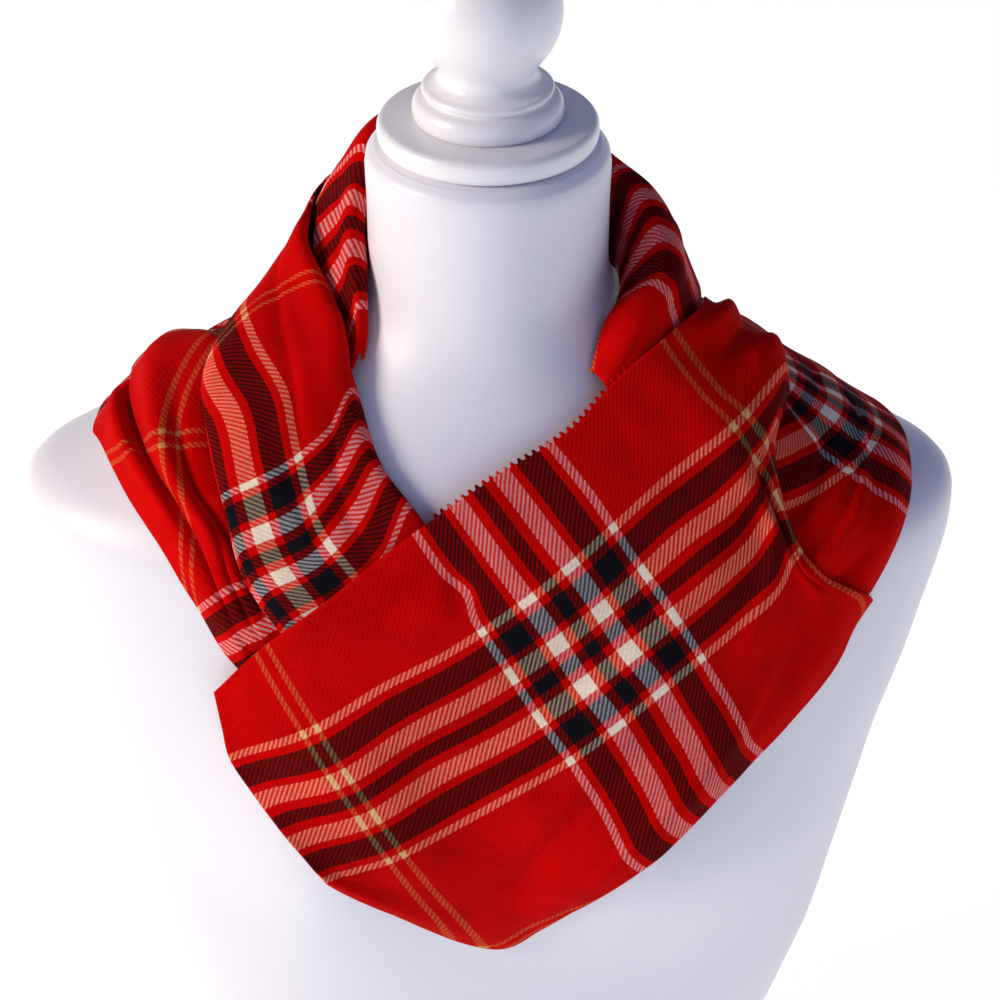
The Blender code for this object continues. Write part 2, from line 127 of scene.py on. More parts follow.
def formPoint(turn, drop):
    # A point of the form's skin: turn in degrees, 0 ahead and 90 towards +X, drop in mm
    rows = np.array(formShape["rows"])
    turn, drop = np.broadcast_arrays(np.radians(np.asarray(turn, float)), np.asarray(drop, float))
    at = spline(rows[:, 0], rows[:, 1:], drop.ravel(), even=True).reshape(drop.shape + (4,))
    halfWidth, front, behind, square = at[..., 0], at[..., 1], at[..., 2], at[..., 3]
    side, ahead = np.sin(turn), np.cos(turn)
    x = halfWidth * np.sign(side) * np.abs(side) ** (2 / square)
    y = (behind - front) / 2 - (behind + front) / 2 * np.sign(ahead) * np.abs(ahead) ** (2 / square)
    bust = np.exp(-((x - formShape["bustSide"]) / formShape["bustWidth"]) ** 2)
    bust = bust + np.exp(-((x + formShape["bustSide"]) / formShape["bustWidth"]) ** 2)
    level = (drop - formShape["bustDrop"]) / formShape["bustHeight"]
    bust = bust * formShape["bustProud"] * np.exp(-level ** 2)
    y = y - bust * np.sqrt(np.clip(ahead, 0, 1))
    return np.stack([x, y, formShape["neckTop"] * 1000 - drop], -1) / 1000


def formNormal(turn, drop, step=0.5):
    turn = np.asarray(turn, float)
    drop = np.asarray(drop, float)
    roundIt = formPoint(turn + step, drop) - formPoint(turn - step, drop)
    downIt = formPoint(turn, drop + step) - formPoint(turn, drop - step)
    normal = np.cross(downIt, roundIt)
    return normal / np.linalg.norm(normal, axis=-1, keepdims=True)


def onForm(rows):
    # Rows of (turn in degrees, drop in mm, height above the form in mm)
    table = np.array([row[1] for row in rows], float)
    turn, drop, off = table[..., 0], table[..., 1], table[..., 2]
    return formPoint(turn, drop) + formNormal(turn, drop) * off[..., None] / 1000


def roundNeck(rows):
    # Rows of (reach from the neck's axis, height) in mm, each at its own turn
    turn = np.radians(np.array([row[1] for row in rows], float))[:, None]
    table = np.array([row[2] for row in rows], float) / 1000
    reach, height = table[..., 0], table[..., 1]
    return np.stack([reach * np.sin(turn), -reach * np.cos(turn), height], -1)


def knotsOf(points, axis):
    # The mean way from line to line of a table of points, summed up
    steps = np.linalg.norm(np.diff(points, axis=axis), axis=-1).mean(axis=1 - axis)
    return np.concatenate([[0], np.cumsum(steps)])


def crossed(alongKnots, acrossKnots, values, alongAt, acrossAt):
    # A table of values, read smoothly at new places along and across
    lines = spline(alongKnots, values, alongAt)
    lines = spline(acrossKnots, np.swapaxes(lines, 0, 1), acrossAt)
    return np.swapaxes(lines, 0, 1)


def facesOf(rows, columns):
    faces = []
    for i in range(rows - 1):
        for j in range(columns - 1):
            a = i * columns + j
            faces.append((a, a + 1, a + columns + 1, a + columns))
    return faces


def treeOf(grid):
    return BVHTree.FromPolygons([Vector(p) for p in grid.reshape(-1, 3)], facesOf(*grid.shape[:2]))


def outward(grid):
    # The way straight up from the cloth at each of its points
    normal = np.cross(np.gradient(grid, axis=1), np.gradient(grid, axis=0))
    return normal / np.maximum(np.linalg.norm(normal, axis=-1, keepdims=True), 1e-12)


def softened(values):
    soft = values.copy()
    soft[1:-1] = (values[:-2] + 2 * values[1:-1] + values[2:]) / 4
    soft[:, 1:-1] = (soft[:, :-2] + 2 * soft[:, 1:-1] + soft[:, 2:]) / 4
    return soft


def lifted(grid, lower, least, turns=8, softTurns=4, reach=0.016):
    # Raise a cloth until it clears the surface below, with soft shoulders beside each raised place.
    rows, columns = grid.shape[:2]
    moved = np.zeros_like(grid)
    for turn in range(turns):
        now = grid + moved
        for i in range(rows):
            for j in range(columns):
                here = Vector(now[i, j])
                spot, normal, index, distance = lower.find_nearest(here, reach)
                if spot is None:
                    continue
                away = here - spot
                height = away.dot(normal)
                aside = (away - normal * height).length
                lack = least - cloth["edgeSlope"] * aside - height
                if lack > 0:
                    moved[i, j] += np.array(normal) * lack
        if turn < softTurns:
            soft = softened(moved)
            longer = np.linalg.norm(soft, axis=-1) > np.linalg.norm(moved, axis=-1)
            moved[longer] = soft[longer]
    return grid + moved


def folded(grid, alongMm, acrossMm, folds, seed):
    # Soft ridges and troughs, each along its own line, then a faint unevenness all over
    u = alongMm[:, None] * np.ones(len(acrossMm))
    v = np.ones(len(alongMm))[:, None] * acrossMm
    height = np.zeros_like(u)
    for fromU, fromV, toU, toV, wide, high, bend in folds:
        runU, runV = toU - fromU, toV - fromV
        run = math.hypot(runU, runV)
        runU, runV = runU / run, runV / run
        t = ((u - fromU) * runU + (v - fromV) * runV) / run
        side = (v - fromV) * runU - (u - fromU) * runV
        side = side - bend * np.sin(math.pi * np.clip(t, 0, 1))
        near = np.where(side > 0, cloth["easyFlank"], cloth["steepFlank"]) * wide
        reach = np.clip(1 - np.abs(2 * t - 1) ** 3, 0, 1)
        height += high / 1000 * np.exp(-(side / near) ** 2) * reach
    waver = np.zeros_like(u)
    for i in range(u.shape[0]):
        for j in range(u.shape[1]):
            spot = Vector(grid[i, j]) / cloth["waverSize"]
            ripple = noise.noise(spot * cloth["rippleTimes"] + Vector((0, seed, 0)))
            waver[i, j] = noise.noise(spot + Vector((seed, 0, 0))) + cloth["ripple"] * ripple
    return grid + outward(grid) * (height + waver * cloth["waver"])[..., None]


def laidCloth(points, piece, under, alongMm=None):
    # The coarse cloth is lifted first, then its lift is carried to the fine one, which gets the folds.
    # under holds each layer below and the least distance from it.
    if alongMm is None:
        alongMm = [row[0] for row in piece["rows"]]
    along = knotsOf(points, 0)
    across = knotsOf(points, 1)
    coarseAlong = np.linspace(along[0], along[-1], piece["coarse"][0])
    coarseAcross = np.linspace(across[0], across[-1], piece["coarse"][1])
    coarse = crossed(along, across, points, coarseAlong, coarseAcross)
    raised = coarse
    for again in range(cloth["rounds"]):
        for lower, least in under:
            raised = lifted(raised, lower, least)
    fineAlong = np.linspace(along[0], along[-1], piece["fine"][0])
    fineAcross = np.linspace(across[0], across[-1], piece["fine"][1])
    grid = crossed(along, across, points, fineAlong, fineAcross)
    grid = grid + crossed(coarseAlong, coarseAcross, raised - coarse, fineAlong, fineAcross)
    u = np.interp(fineAlong, along, alongMm)
    v = np.interp(fineAcross, across, piece["across"])
    grid = folded(grid, u, v, piece["folds"], piece["seed"])
    clear = grid
    for again in range(cloth["rounds"]):
        for lower, least in under:
            clear = lifted(clear, lower, least, turns=4, softTurns=3)
    away = outward(grid)
    raised = ((clear - grid) * away).sum(axis=-1)       # straight up from the cloth, never sideways
    for again in range(cloth["rounds"]):
        raised = np.maximum(raised, softened(raised))
    return grid + away * raised[..., None], u, v


def flattened(grid, flat, turns=900, give=0.22):
    # Slides the flat places until each thread has its own length, so that the weave keeps its scale.
    flat = flat.copy()
    pulls = ((1, 0, 1.0), (0, 1, 1.0), (1, 1, 0.25), (1, -1, 0.25))      # rows on, columns on, strength
    rows, columns = grid.shape[:2]
    links = []
    for down, across, strength in pulls:
        start, end = max(0, -across), min(columns, columns - across)
        here = (slice(0, rows - down), slice(start, end))
        there = (slice(down, rows), slice(start + across, end + across))
        links.append((here, there, strength, np.linalg.norm(grid[there] - grid[here], axis=-1)))
    for turn in range(turns):
        move = np.zeros_like(flat)
        for here, there, strength, length in links:
            gap = flat[there] - flat[here]
            now = np.maximum(np.linalg.norm(gap, axis=-1), 1e-6)
            push = gap * ((now - length) / now * strength * give)[..., None]
            move[here] += push
            move[there] -= push
        flat += move
    return flat


def someOf(count, step):
    # Every step-th row or column, and the last one
    return np.unique(np.append(np.arange(0, count, step), count - 1))


def threadPlaces(grid, alongMm, acrossMm, piece):
    rows, columns = grid.shape[:2]
    if piece["threads"] == "flattened":
        step = max(1, rows // cloth["flatRows"])
        down, over = someOf(rows, step), someOf(columns, step)
        flat = np.stack(np.meshgrid(alongMm[down], acrossMm[over], indexing="ij"), -1) / 1000
        flat = flattened(grid[down][:, over], flat)
        for again in range(cloth["flatSoft"]):
            flat = softened(flat)
        flat = crossed(down, over, flat, np.arange(rows), np.arange(columns))
    else:
        along = np.linalg.norm(np.diff(grid, axis=0), axis=-1).mean(axis=1)
        along = np.concatenate([[0], np.cumsum(along)])[:, None]
        across = np.linalg.norm(np.diff(grid, axis=1), axis=-1)
        across = np.concatenate([np.zeros((rows, 1)), np.cumsum(across, axis=1)], axis=1)
        for again in range(cloth["flatSoft"]):
            across = softened(across)
        across = across + piece["skew"] * along
        flat = np.stack([along * piece["alongScale"] * np.ones(columns), across], -1)
    return flat + np.array(piece["threadStart"]) / 1000


scarfSet = bpy.data.collections.new("scarfOnForm")
bpy.context.scene.collection.children.link(scarfSet)


def newPiece(name, points, faces, look, nodes):
    mesh = bpy.data.meshes.new(name)
    mesh.from_pydata([tuple(p) for p in points], [], faces)
    mesh.update()
    made = bpy.data.objects.new(name, mesh)
    scarfSet.objects.link(made)
    mesh.materials.append(look)
    mesh.shade_smooth()
    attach(made, "root")
    if nodes:
        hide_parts(*nodes)
    return made


def newCloth(name, grid, flat, look, nodes):
    # The grid is the middle of the cloth, and flat holds its thread places
    rows, columns = grid.shape[:2]
    made = newPiece(name, grid.reshape(-1, 3), facesOf(rows, columns), look, nodes)
    layer = made.data.uv_layers.new(name="threads")
    places = flat.reshape(-1, 2)
    corners = np.empty(len(made.data.loops), dtype=np.int32)
    made.data.loops.foreach_get("vertex_index", corners)
    layer.data.foreach_set("uv", places[corners].ravel().astype(np.float32))
    wall = made.modifiers.new("wall", "SOLIDIFY")
    wall.thickness = cloth["wall"]
    wall.offset = 0.0
    wall.use_even_offset = False
    return made


def setInputs(tree, node, inputs):
    # Each input gets a value or another node's output
    for key, value in inputs.items():
        if isinstance(value, bpy.types.NodeSocket):
            tree.links.new(value, node.inputs[key])
        else:
            node.inputs[key].default_value = value


def addNode(tree, kind, inputs, **settings):
    node = tree.nodes.new(kind)
    for key, value in settings.items():
        setattr(node, key, value)
    setInputs(tree, node, inputs)
    return node


def ranged(tree, value, fromRange, toRange):
    return addNode(tree, "ShaderNodeMapRange", {
        "Value": value, "From Min": fromRange[0], "From Max": fromRange[1],
        "To Min": toRange[0], "To Max": toRange[1]}).outputs[0]


def noiseOf(tree, place, scale, detail, rough=0.5, output=0):
    return addNode(tree, "ShaderNodeTexNoise", {
        "Vector": place, "Scale": scale, "Detail": detail, "Roughness": rough}).outputs[output]


def newLook(name, colour):
    look = bpy.data.materials.new(name)
    look.use_nodes = True
    look.diffuse_color = (*colour, 1)
    return look, look.node_tree, look.node_tree.nodes["Principled BSDF"]


# The checked cashmere. Scales count bumps per metre, the rest is in metres where nothing else is said.
weave = {
    "thread": 0.00068,            # pitch of one thread; four make a twill line
    "repeat": 0.235,              # of the check, both ways
    "stripes": [                  # from the middle of the band outwards: width in mm, yarn
        (3, "black"), (5, "red"), (8, "white"), (4, "red"), (11, "black"), (3, "red"), (4, "white"),
    ],
    "overcheck": (112, 3, 7),     # middle of the two camel lines, their width and their distance, in mm
    "red": (0.55, 0.0008, 0.0006),
    "black": (0.006, 0.0055, 0.007),
    "white": (0.86, 0.82, 0.78),
    "lengthwiseWhite": (0.93, 0.64, 0.36),     # of the stripes that run the scarf's length
    "camel": (0.60, 0.27, 0.07),
    "mingle": 0.72,               # how much two yarns blend where they cross
    "stray": 0.0007,              # how far a thread leaves its straight line
    "strayScale": 900,
    "cloudScale": 55,             # broad patches of the nap, and their darkest and lightest tone
    "cloudTone": (0.88, 1.10),
    "fibreScale": 1500,           # short fibres, and theirs
    "fibreTone": (0.86, 1.12),
    "noiseMiddle": (0.3, 0.7),    # the part of the noise that the tones are spread over
    "ribRelief": 0.35,            # share of the twill lines in the relief
    "fibreRelief": 1.4,           # and of the fibres
    "bump": 0.35,                 # strength of the relief, and its depth
    "bumpDepth": 0.0004,
    "rough": 0.92, "specular": 0.03,
    "sheen": 0.012, "sheenRough": 0.45, "sheenTint": (1.0, 0.75, 0.7),
}


def stripeStops(yarnNames):
    # Stops of one repeat from 0 to 1, with the band at its start and end, and the camel lines in the middle
    repeat = weave["repeat"] * 1000
    stops = []
    place = 0
    for width, yarn in weave["stripes"]:
        stops.append((place, yarn))
        place += width
    stops.append((place, "red"))
    middle, line, apart = weave["overcheck"]
    for centre in (middle - apart / 2, middle + apart / 2):
        stops.append((centre - line / 2, "camel"))
        stops.append((centre + line / 2, "red"))
    # The far half is the band again, mirrored
    place = repeat - place
    for width, yarn in reversed(weave["stripes"]):
        stops.append((place, yarn))
        place += width
    return [(at / repeat, weave[yarnNames.get(yarn, yarn)]) for at, yarn in stops]


def cashmere(name):
    made, tree, shader = newLook(name, weave["red"])

    def sums(operation, *values):
        return addNode(tree, "ShaderNodeMath", dict(enumerate(values)), operation=operation).outputs[0]

    def vectors(operation, inputs):
        return addNode(tree, "ShaderNodeVectorMath", inputs, operation=operation).outputs[0]

    def mixed(factor, one, two, blend="MIX"):
        return addNode(tree, "ShaderNodeMix", {"Factor": factor, 6: one, 7: two},
                       data_type="RGBA", blend_type=blend).outputs[2]

    # Threads aren't quite straight, so each place strays a little
    place = addNode(tree, "ShaderNodeUVMap", {}, uv_map="threads").outputs[0]
    stray = noiseOf(tree, place, weave["strayScale"], 2, output="Color")
    stray = vectors("SUBTRACT", {0: stray, 1: (0.5, 0.5, 0.5)})
    stray = vectors("SCALE", {0: stray, "Scale": weave["stray"]})
    place = vectors("ADD", {0: place, 1: stray})
    along, across = addNode(tree, "ShaderNodeSeparateXYZ", {0: place}).outputs[:2]

    yarns = []
    for at, names in ((along, {}), (across, {"white": "lengthwiseWhite"})):
        share = sums("FRACT", sums("DIVIDE", at, weave["repeat"]))
        ramp = addNode(tree, "ShaderNodeValToRGB", {0: share})
        ramp.color_ramp.interpolation = "CONSTANT"
        stops = stripeStops(names)
        for element, (stop, colour) in zip(ramp.color_ramp.elements, stops[:2]):
            element.position = stop
            element.color = (*colour, 1)
        for stop, colour in stops[2:]:
            ramp.color_ramp.elements.new(stop).color = (*colour, 1)
        yarns.append(ramp.outputs[0])

    # A 2/2 twill: two threads over, two under, one step further on each row
    counts = [sums("FLOOR", sums("DIVIDE", at, weave["thread"])) for at in (along, across)]
    over = sums("LESS_THAN", sums("FLOORED_MODULO", sums("ADD", *counts), 4.0), 1.5)
    onTop = mixed(over, yarns[1], yarns[0])
    both = mixed(1.0, yarns[0], yarns[1], blend="MULTIPLY")
    both = addNode(tree, "ShaderNodeGamma", {0: both, "Gamma": 0.5}).outputs[0]
    colour = mixed(weave["mingle"], onTop, both)

    # The brushed nap: cloudy patches and short fibres
    spot = addNode(tree, "ShaderNodeTexCoord", {}).outputs["Object"]
    cloud = noiseOf(tree, spot, weave["cloudScale"], 6, rough=0.62)
    fibre = noiseOf(tree, spot, weave["fibreScale"], 3)
    tone = sums("MULTIPLY", ranged(tree, cloud, weave["noiseMiddle"], weave["cloudTone"]),
                ranged(tree, fibre, weave["noiseMiddle"], weave["fibreTone"]))
    colour = vectors("SCALE", {0: colour, "Scale": tone})

    # Relief: the twill's lines under the nap
    lines = 2 * math.pi / (4 * weave["thread"])
    ribs = sums("SINE", sums("MULTIPLY", sums("ADD", along, across), lines))
    relief = sums("ADD", sums("MULTIPLY", ribs, weave["ribRelief"]),
                  sums("MULTIPLY", fibre, weave["fibreRelief"]))
    bump = addNode(tree, "ShaderNodeBump", {
        "Height": relief, "Strength": weave["bump"], "Distance": weave["bumpDepth"]}).outputs[0]
    setInputs(tree, shader, {
        "Base Color": colour, "Normal": bump, "Roughness": weave["rough"],
        "Specular IOR Level": weave["specular"], "Sheen Weight": weave["sheen"],
        "Sheen Roughness": weave["sheenRough"], "Sheen Tint": (*weave["sheenTint"], 1)})
    return made


# The two pale finishes: colour, how much their tone varies, size of their grain, depth of its relief
jersey = {
    "colour": (0.80, 0.78, 0.81), "vary": 0.03, "grainScale": 1400, "bumpDepth": 0.00015,
    "rough": 0.42, "coat": 0.0,
}
paint = {
    "colour": (0.84, 0.82, 0.82), "vary": 0.02, "grainScale": 500, "bumpDepth": 0.0001,
    "rough": 0.33, "coat": 0.2,
}
pale = {"broadScale": 14, "roughVary": 0.08, "bump": 0.4}      # what both share


def paleLook(name, finish):
    made, tree, shader = newLook(name, finish["colour"])
    spot = addNode(tree, "ShaderNodeTexCoord", {}).outputs["Object"]
    fine = noiseOf(tree, spot, finish["grainScale"], 3)
    broad = noiseOf(tree, spot, pale["broadScale"], 4)
    both = addNode(tree, "ShaderNodeMath", {0: fine, 1: broad}, operation="ADD").outputs[0]
    tone = ranged(tree, both, (0.6, 1.4), (1 - finish["vary"], 1 + finish["vary"]))
    toned = addNode(tree, "ShaderNodeVectorMath", {0: finish["colour"], "Scale": tone}, operation="SCALE")
    bump = addNode(tree, "ShaderNodeBump", {
        "Height": fine, "Strength": pale["bump"], "Distance": finish["bumpDepth"]})
    roughRange = (finish["rough"] - pale["roughVary"], finish["rough"] + pale["roughVary"])
    setInputs(tree, shader, {
        "Base Color": toned.outputs[0], "Normal": bump.outputs[0],
        "Roughness": ranged(tree, fine, (0, 1), roughRange), "Coat Weight": finish["coat"]})
    return made


cashmereLook = cashmere("redCheckedCashmere")
jerseyLook = paleLook("whiteJersey", jersey)
paintLook = paleLook("whitePaintedWood", paint)
print("materials made")

# The form's body: rings from the neck's top down, closed at both ends
wallDrops = np.linspace(*formShape["wallDrops"], formShape["wallRings"])
drops = np.concatenate([formShape["brimDrops"], wallDrops])
sides = formShape["sides"]
formGrid = formPoint(np.arange(sides) * 360 / sides, drops[:, None])
lastY = formGrid[-1, :, 1]
formPoints = list(formGrid.reshape(-1, 3))
topCentre = len(formPoints)
formPoints.append(np.array([0, 0, formShape["neckTop"]]))
formPoints.append(np.array([0, (lastY.max() + lastY.min()) / 2, 0]))
formFaces = []
for i in range(len(drops) - 1):
    for j in range(sides):
        k = (j + 1) % sides
        formFaces.append((i * sides + j, (i + 1) * sides + j, (i + 1) * sides + k, i * sides + k))
lastRing = (len(drops) - 1) * sides
for j in range(sides):
    k = (j + 1) % sides
    formFaces.append((j, k, topCentre))
    formFaces.append((lastRing + k, lastRing + j, topCentre + 1))
formTree = BVHTree.FromPolygons([Vector(p) for p in formPoints], formFaces)
formBody = newPiece("formBody", formPoints, formFaces, jerseyLook, ["form_torso"])
formBody.data.set_sharp_from_angle(angle=math.radians(formShape["sharpAngle"]))
print("form body made with", len(formFaces), "faces")

# The cap on the neck and the turned finial on it, in metres
top = {
    "gap": 0.0003,              # between the neck, the cap and the finial
    "capRadius": 0.048, "capHeight": 0.0115,
    # the cap's rim, as distance in from its edge, and down from its top or up from its bottom
    "upperRim": [(0.0042, 0), (0.0018, 0.0004), (0.0005, 0.0018), (0, 0.004), (0, 0.0065)],
    "lowerRim": [(0.0007, 0.0022), (0.0024, 0.0006), (0.0045, 0)],
    "ballRadius": 0.032, "ballUp": 0.049, "ballSteps": 42,
    "ballSweep": 128.8,         # degrees from the ball's top down to the stem
    # the stem under the ball: radius and height in mm
    "tiers": [
        (21.0, 22.5), (21.2, 20.0), (22.5, 17.5), (25.5, 15.6), (28.0, 14.8), (28.6, 13.6), (28.0, 12.2),
        (27.2, 11.4), (30.6, 9.6), (32.4, 6.8), (32.8, 4.0), (32.4, 1.4), (31.6, 0.0),
    ],
    "between": 5,               # points in each step of a profile
    "turnSteps": 128,
}


def turned(name, profile, nodes):
    # A profile from the top of the axis down its outer side to the bottom of the axis
    points = [(radius, 0.0, height) for radius, height in profile]
    edges = [(k, k + 1) for k in range(len(points) - 1)]
    mesh = bpy.data.meshes.new(name)
    mesh.from_pydata(points, edges, [])
    mesh.materials.append(paintLook)
    made = bpy.data.objects.new(name, mesh)
    scarfSet.objects.link(made)
    turn = made.modifiers.new("turn", "SCREW")
    turn.axis = "Z"
    turn.steps = top["turnSteps"]
    turn.render_steps = top["turnSteps"]
    turn.use_merge_vertices = True
    turn.merge_threshold = 0.00001
    turn.use_smooth_shade = True
    turn.use_normal_calculate = True
    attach(made, "root")
    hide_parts(*nodes)


def smoothProfile(points):
    points = np.array(points, float)
    knots = np.concatenate([[0], np.cumsum(np.linalg.norm(np.diff(points, axis=0), axis=1))])
    steps = [np.linspace(start, end, top["between"]) for start, end in zip(knots[:-1], knots[1:])]
    return [tuple(p) for p in spline(knots, points, np.unique(np.concatenate(steps)))]


capBottom = formShape["neckTop"] + top["gap"]
capTop = capBottom + top["capHeight"]
capRim = [(top["capRadius"] - inward, capTop - down) for inward, down in top["upperRim"]]
capRim += [(top["capRadius"] - inward, capBottom + up) for inward, up in top["lowerRim"]]
turned("neckCap", [(0.0, capTop)] + smoothProfile(capRim) + [(0.0, capBottom)],
       ["neck_cap"])

finialBottom = capTop + top["gap"]
ballMiddle = finialBottom + top["ballUp"]
ball = [(0.0, ballMiddle + top["ballRadius"])]
for k in range(1, top["ballSteps"] + 1):
    angle = math.radians(90 - k * top["ballSweep"] / top["ballSteps"])
    ball.append((top["ballRadius"] * math.cos(angle), ballMiddle + top["ballRadius"] * math.sin(angle)))
tiers = [(radius / 1000, finialBottom + height / 1000) for radius, height in top["tiers"]]
stem = smoothProfile([ball[-1]] + tiers)
turned("neckFinial", ball[:-1] + stem + [(0.0, finialBottom)], ["neck_finial"])
print("cap and finial made")

# The long outer stretch: right shoulder, back and left shoulder, inner edge first.
# Each row is one line across the cloth: place along it in mm, then (turn, drop, height above the form).
outer = {
    "across": (0, 40, 80, 115, 150, 205, 222),
    "rows": [
        (85, [(44.5, 112, 3), (39.5, 131, 3), (34.5, 152, 3), (35, 162, 3),
              (36.5, 172, 3), (42.5, 194, 3), (45, 201, 1.5)]),
        (125, [(61, 113, 4), (51, 130, 5), (42.5, 149, 6), (41, 158, 6),
               (41, 166, 6), (48, 179, 5), (50.5, 186, 1.5)]),
        (160, [(73, 113, 5), (59, 128, 7), (52, 144, 9), (50, 150, 9),
               (49.5, 155, 9), (54, 163, 7), (56.5, 167, 1.5)]),
        (195, [(80, 111, 5), (71, 122, 6), (66.5, 133, 8), (65.5, 138, 8),
               (65, 143, 8), (64.5, 151, 8), (66.5, 154, 1.5)]),
        (230, [(87, 108, 5), (83.5, 118, 6), (81, 129, 7), (80, 133, 7),
               (79, 138, 7), (77.5, 146, 7), (78, 149, 1.5)]),
        (270, [(96, 106, 5), (95.5, 115, 3), (95, 125, 3), (94.5, 130, 3.5),
               (94, 135, 3), (93.5, 143, 2.5), (93, 147, 1.5)]),
        (305, [(110, 104, 4), (110, 114, 3), (110, 126, 3), (110.5, 133, 4),
               (112.5, 141, 3), (116, 149, 2.5), (117, 152, 1.5)]),
        (345, [(127, 98, 5), (127, 115, 6), (127, 132, 5), (127, 141, 6),
               (127, 150, 6), (126, 168, 5), (125.5, 173, 1.5)]),
        (390, [(148, 91, 6), (148, 116, 8), (149, 142, 7), (149, 154, 9),
               (149, 166, 11), (149, 191, 7), (149, 197, 1.5)]),
        (440, [(174, 88, 6), (174, 118, 9), (174, 150, 7), (174.5, 164.5, 8.5),
               (175, 179, 10), (175, 209, 7), (175, 215, 1.5)]),
        (490, [(202, 89, 6), (202, 117, 8), (201, 148, 9), (201, 162, 8),
               (201, 176, 7), (200, 204, 8), (200, 210, 1.5)]),
        (535, [(226, 95, 6), (226, 117, 8), (226, 140, 6), (226, 150, 7),
               (226, 159, 8), (227, 178, 6), (227, 184, 1.5)]),
        (580, [(247, 107, 3), (245.5, 118, 4), (245.5, 126, 6), (246, 132, 8),
               (246, 139, 5), (243.5, 147, 3), (242.5, 151, 1.5)]),
        (610, [(258, 101, 3), (258, 110, 4), (257.5, 116, 12), (258.5, 121, 17),
               (260.5, 129, 13), (262.5, 137, 5), (264, 142, 1.5)]),
        (635, [(275.5, 102, 3), (273, 107, 4), (270.5, 111, 15), (268.5, 121, 20),
               (268.5, 130, 10), (272, 135, 9), (271.5, 142, 1.5)]),
        (665, [(307, 115, 3), (302.5, 118, 4), (301, 123, 15), (298, 129, 20),
               (292, 133, 8), (290.5, 137, 11), (283, 141, 1.5)]),
        (700, [(320, 126, 4), (315.5, 131, 4), (313, 135, 11), (310.5, 138, 16),
               (304.5, 139, 9), (305, 143, 11), (302.5, 147, 1.5)]),
        (750, [(330.5, 143, 4), (327.5, 147, 4), (326, 150, 7), (324.5, 152, 12),
               (321.5, 153, 9), (320.5, 156, 9), (318.5, 160, 1.5)]),
        (795, [(337, 160, 4), (334.5, 163, 4), (332.5, 165, 5), (330.5, 167, 8),
               (329, 170, 8), (327, 175, 7), (325.5, 180, 1.5)]),
        (840, [(341.5, 181, 3), (338.5, 184, 4), (336.5, 186, 4), (335, 190, 5),
               (333, 193, 5), (331.5, 197, 5), (329.5, 201, 1.5)]),
        (860, [(342.5, 190, 3), (339.5, 193, 3), (338, 196, 3), (336.5, 199, 3),
               (334.5, 203, 3), (333, 206, 3), (332, 209, 1.5)]),
    ],
    # points along and across, in the coarse cloth and the fine one, and a seed for the unevenness
    "coarse": (66, 15), "fine": (280, 62), "seed": 3.1,
    # the weave lies by lengths measured on the cloth, stretched along and skewed, from this place in mm
    "threads": "lengths", "alongScale": 1.18, "skew": -0.265, "threadStart": (-104, -8),
    # each fold from (along, across) to (along, across), then its width, height and bow, all in mm
    "folds": [
        (300, 60, 420, 30, 9, 2.2, 8), (330, 120, 470, 80, 8, -1.8, -6), (360, 170, 520, 130, 10, 2.4, 7),
        (430, 30, 560, 70, 9, -1.6, 5), (450, 110, 610, 150, 8, 2.0, -8), (500, 50, 620, 40, 7, 1.7, 4),
        (540, 180, 640, 160, 7, -1.5, 3), (140, 90, 250, 150, 8, 1.6, 6), (180, 170, 280, 120, 7, -1.6, -5),
        (230, 60, 320, 90, 7, -1.4, 4),
        (612, 162, 730, 142, 6, -4.6, 0), (700, 146, 815, 152, 6, -2.8, 0),
        (610, 192, 740, 190, 10, 2.4, 3), (625, 112, 770, 116, 11, 2.8, -3),
        (645, 93, 828, 80, 7, -4.0, 3), (690, 108, 840, 118, 6, -2.2, -3),
        (90, 75, 205, 62, 9, -3.0, 5), (105, 130, 215, 150, 11, 2.8, 6), (88, 165, 160, 180, 8, -2.6, 4),
    ],
}
overForm = (formTree, cloth["formClear"])      # a layer below, and how far a cloth stays from it
outerGrid, outerU, outerV = laidCloth(onForm(outer["rows"]), outer, [overForm])
overOuter = (treeOf(outerGrid), cloth["layerClear"])
outerFlat = threadPlaces(outerGrid, outerU, outerV, outer)
outerScarf = newCloth("outerScarf", outerGrid, outerFlat, cashmereLook,
                      ["right_shoulder", "back_drape", "left_drape"])
print("outer stretch laid")

